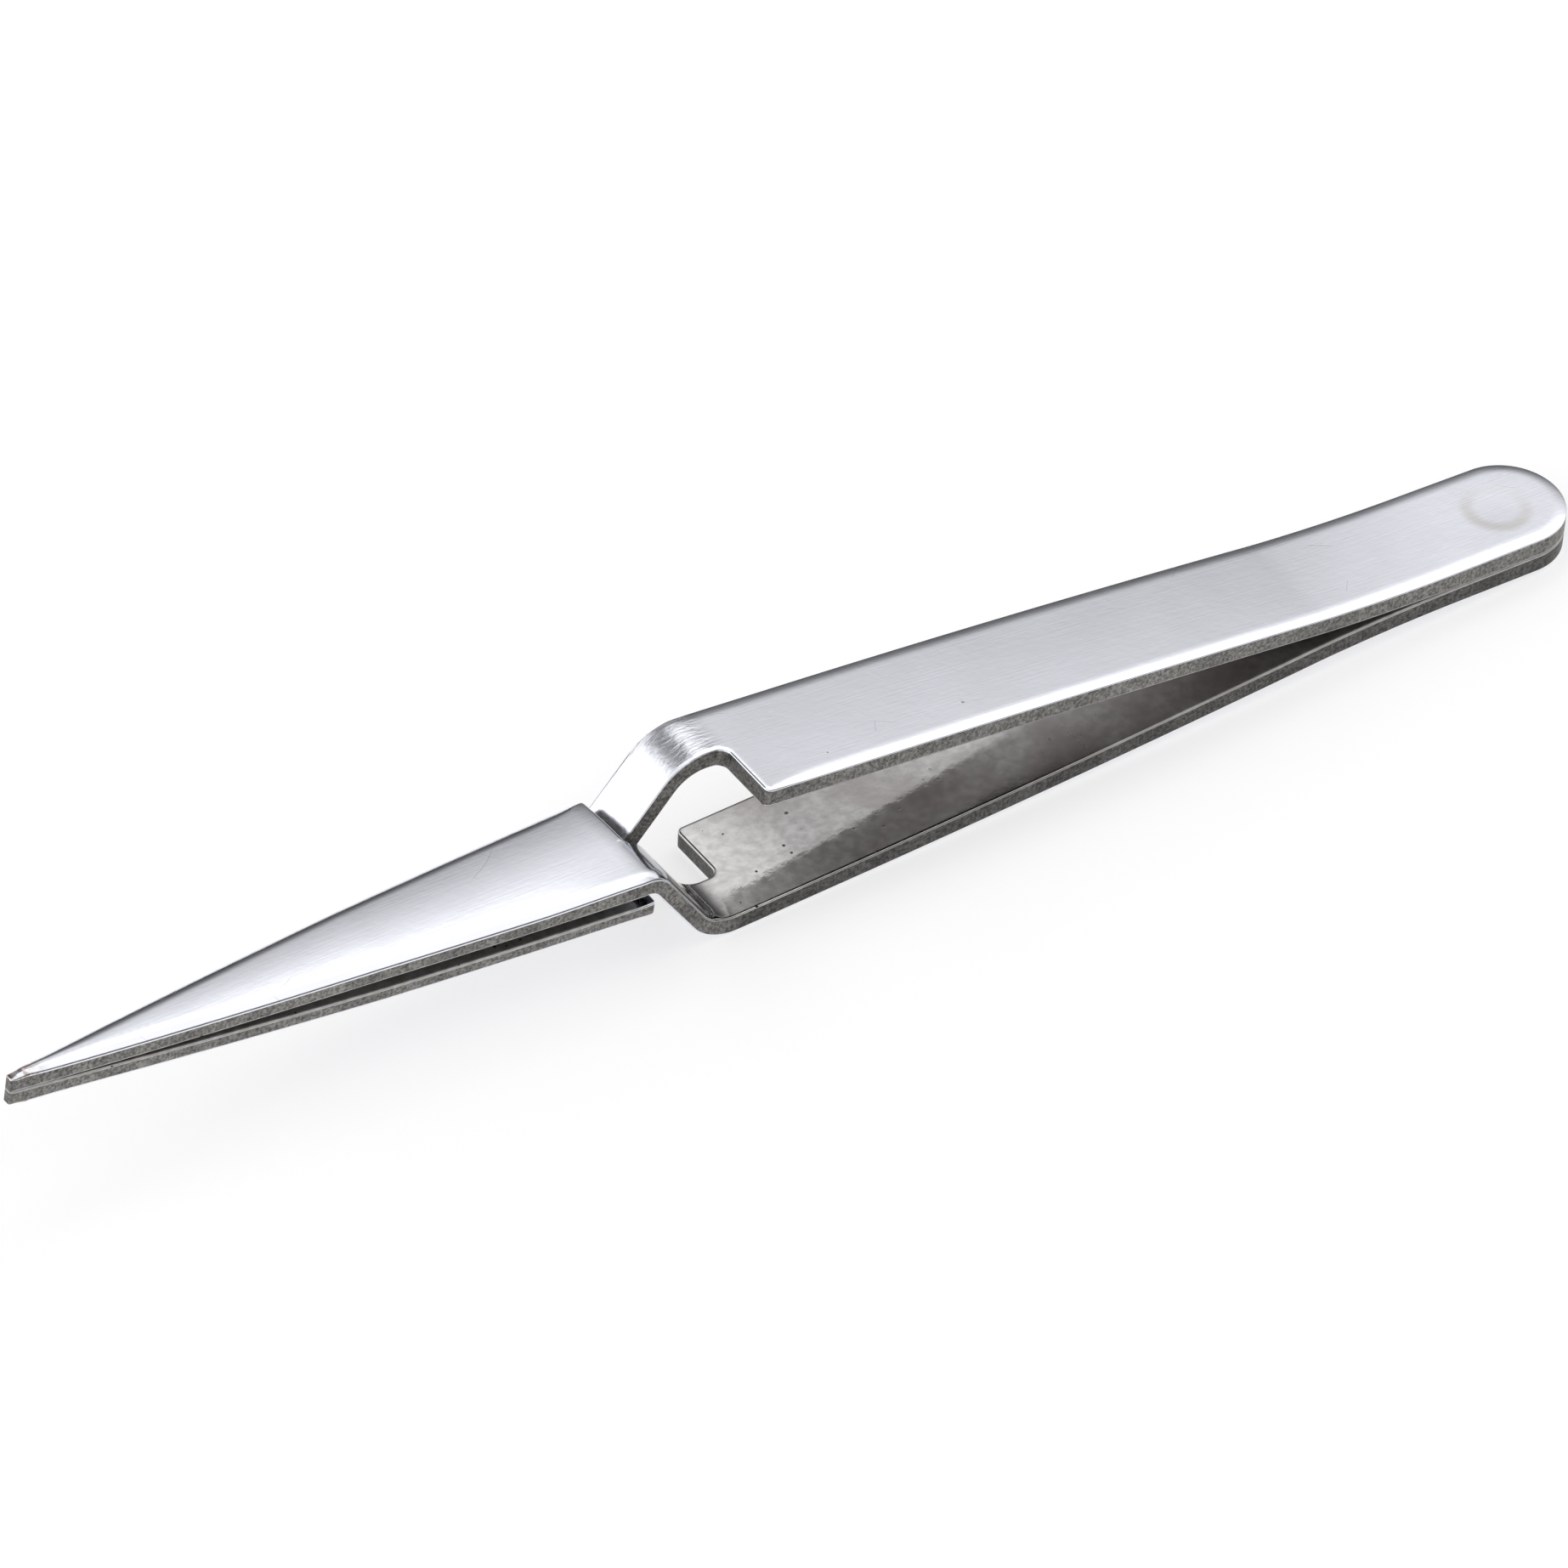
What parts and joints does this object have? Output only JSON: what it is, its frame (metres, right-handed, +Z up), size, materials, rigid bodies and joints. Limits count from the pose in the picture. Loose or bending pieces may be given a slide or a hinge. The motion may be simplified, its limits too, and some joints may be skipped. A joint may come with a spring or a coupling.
{
  "type": "reverse-action tweezers",
  "caption": "Reverse-action tweezers: two bent polished steel arms that cross, joined at the tail; the fine tips stay shut by spring force and open when the handles are squeezed.",
  "frame": {"origin": "centre of the footprint, at the surface that the tweezers lie on", "axes": "+X from the tips to the round tail, +Y across the width, +Z up from the surface that they lie on"},
  "size_m": [0.1198, 0.0088, 0.0115],
  "materials": {
    "polished_steel": "polished, with faint lengthwise brushing"
  },
  "bodies": {
    "lower": {"lower_arm": "polished_steel"},
    "upper": {"upper_arm": "polished_steel"}
  },
  "joints": [
    {"name": "squeeze", "type": "hinge", "parent": "lower", "child": "upper", "pos_m": [0.0474, 0, 0.00223], "axis": [0, -1, 0], "range_deg": [0, 5], "stiffness_Nm_per_rad": 2.3, "springref_deg": -2.58}
  ]
}
